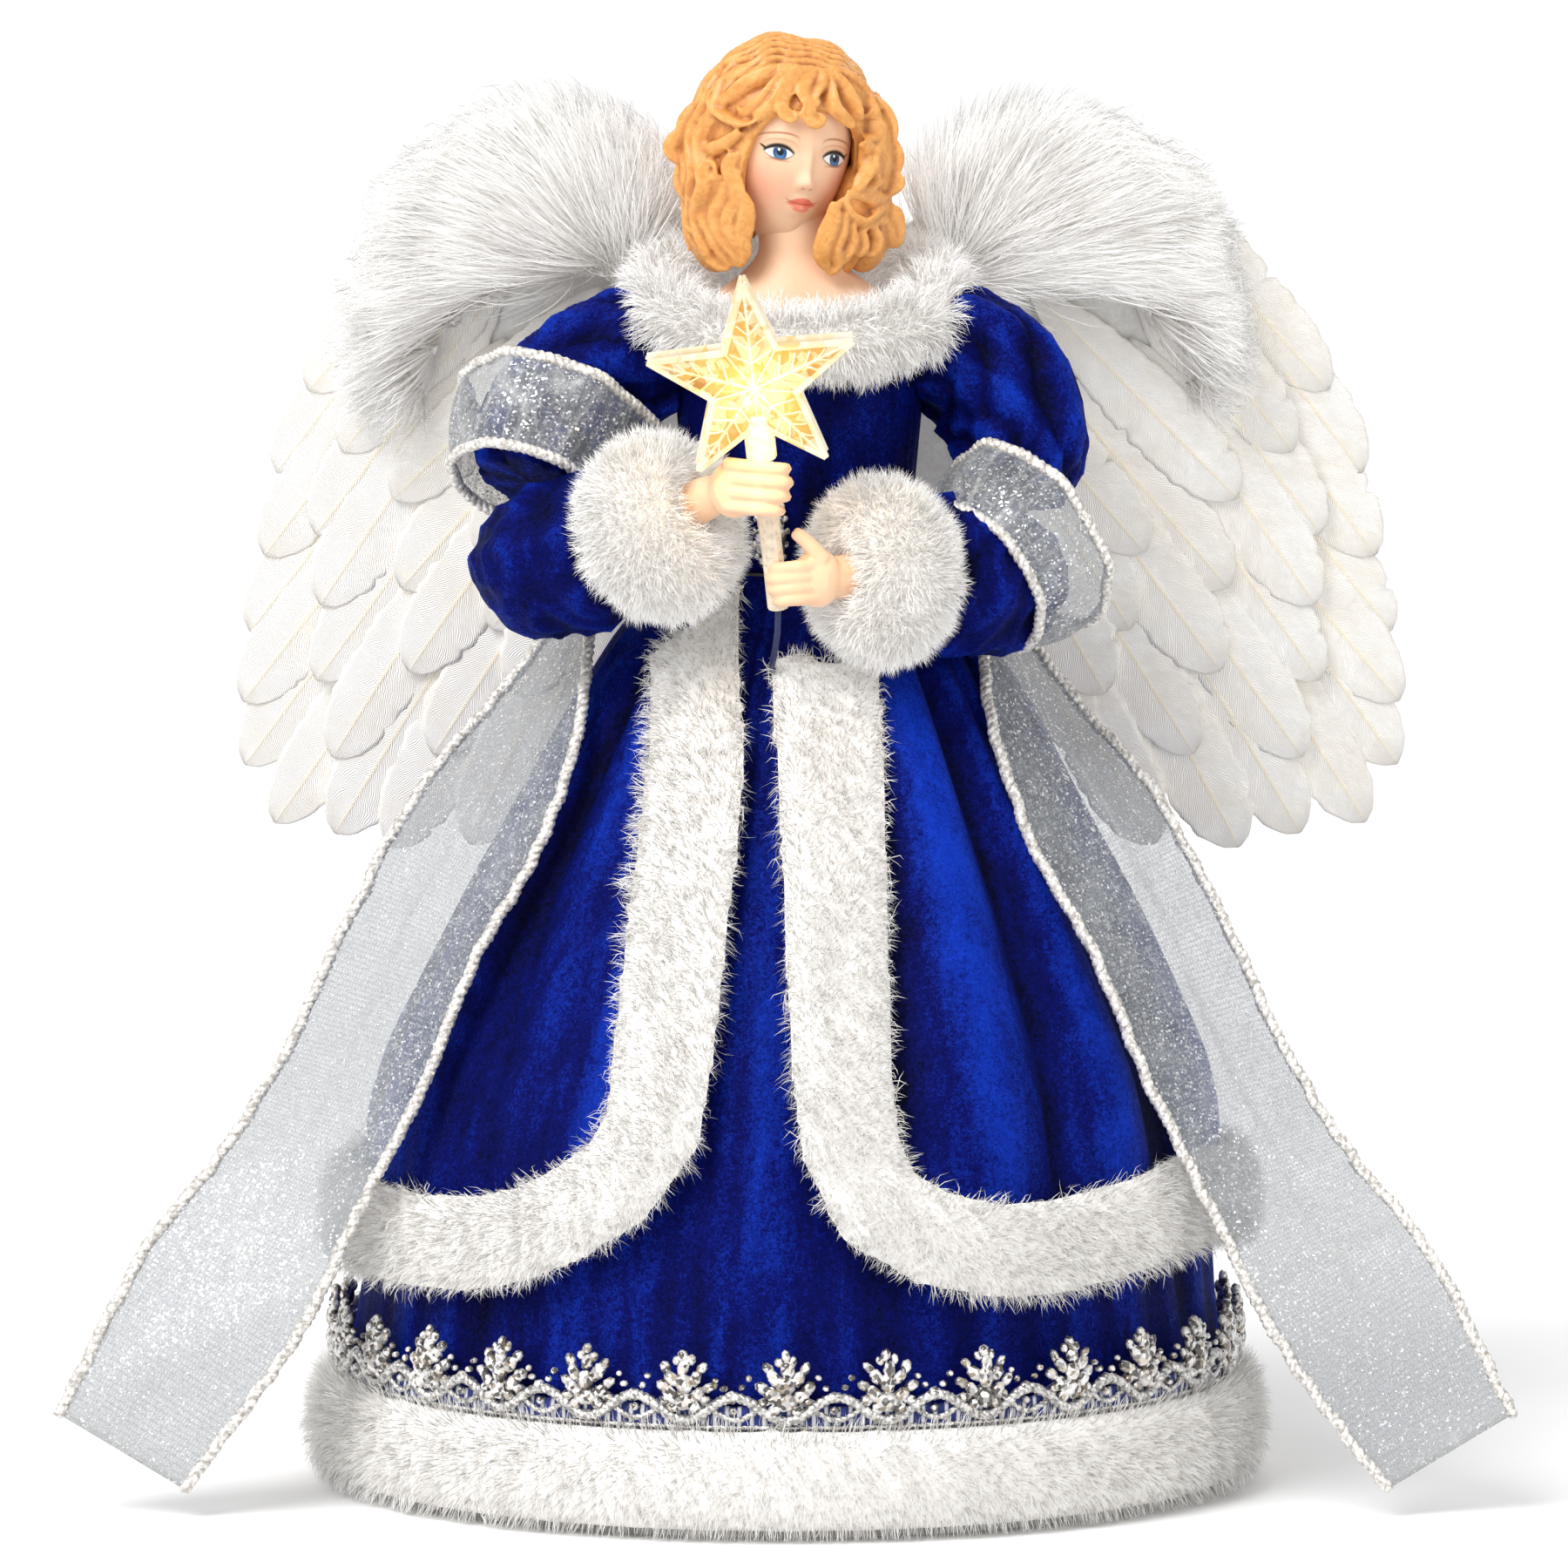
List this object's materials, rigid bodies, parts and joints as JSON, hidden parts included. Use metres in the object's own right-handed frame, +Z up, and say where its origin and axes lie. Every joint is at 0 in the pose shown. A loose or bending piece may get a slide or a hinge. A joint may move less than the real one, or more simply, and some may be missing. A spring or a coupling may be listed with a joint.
{
  "type": "angel tree topper",
  "caption": "Winged doll angel on a hollow cone that slips over a tree's tip, in a fur-trimmed velvet coat, holding a lighted star.",
  "frame": {"origin": "centre of the cone's rim on the floor, at the middle of the whole box", "axes": "+Z up, the figure faces -Y, +X to the viewer's right"},
  "size_m": [0.381, 0.253, 0.3836],
  "materials": {
    "card": "matt white board",
    "velvet": "crushed royal blue velvet",
    "fur": "long white pile",
    "skin": "painted, satin",
    "hair": "painted caramel waves",
    "feather": "dyed cream feathers",
    "ribbon": "sheer glitter mesh with wired edges",
    "silver": "silver beads and crystals",
    "clear": "clear, lit warm from inside",
    "case": "moulded, fine grain",
    "cell": "printed sleeve, plain",
    "contact": "plated spring steel",
    "lead": "insulated wire"
  },
  "bodies": {
    "figure": {"skirt_cone": "card", "torso_core": "card", "wing_bracket": "card", "wing_board_left": "card", "wing_board_right": "card", "bodice": "velvet", "underskirt": "velvet", "coat": "velvet", "sleeve_upper_left": "velvet", "sleeve_lower_left": "velvet", "sleeve_upper_right": "velvet", "sleeve_lower_right": "velvet", "coat_fur_left": "fur", "coat_fur_right": "fur", "hem_fur": "fur", "collar_fur": "fur", "cuff_fur_left": "fur", "cuff_fur_right": "fur", "wing_fluff_left": "fur", "wing_fluff_right": "fur", "head": "skin", "hand_left": "skin", "hand_right": "skin", "hair": "hair", "wing_feathers_back_left": "feather", "wing_feathers_outer_left": "feather", "wing_feathers_inner_left": "feather", "wing_feathers_body_left": "feather", "wing_feathers_back_right": "feather", "wing_feathers_outer_right": "feather", "wing_feathers_inner_right": "feather", "wing_feathers_body_right": "feather", "elbow_ruffle_left": "ribbon", "elbow_ruffle_right": "ribbon", "ribbon_tail_left": "ribbon", "ribbon_tail_right": "ribbon", "ribbon_knot": "ribbon", "beaded_trim": "silver", "waist_brooch": "silver", "star_front": "clear", "star_back": "clear", "wand_neck": "clear", "wand_tube": "clear", "wand_ferrule": "clear", "star_lamp": "clear", "battery_case": "case", "battery_cell_left": "cell", "battery_cell_right": "cell", "switch_body": "cell", "contact_left": "contact", "contact_right": "contact", "contact_bridge": "contact", "lamp_lead": "lead"},
    "battery_cover": {"battery_cover": "case"},
    "switch_slider": {"switch_slider": "cell"}
  },
  "joints": [
    {"name": "battery_cover_slide", "type": "slide", "parent": "figure", "child": "battery_cover", "axis": [0, 0.3684, -0.9297], "range_m": [0, 0.012]},
    {"name": "switch_slide", "type": "slide", "parent": "figure", "child": "switch_slider", "axis": [1, 0, 0], "range_m": [0, 0.004]}
  ]
}
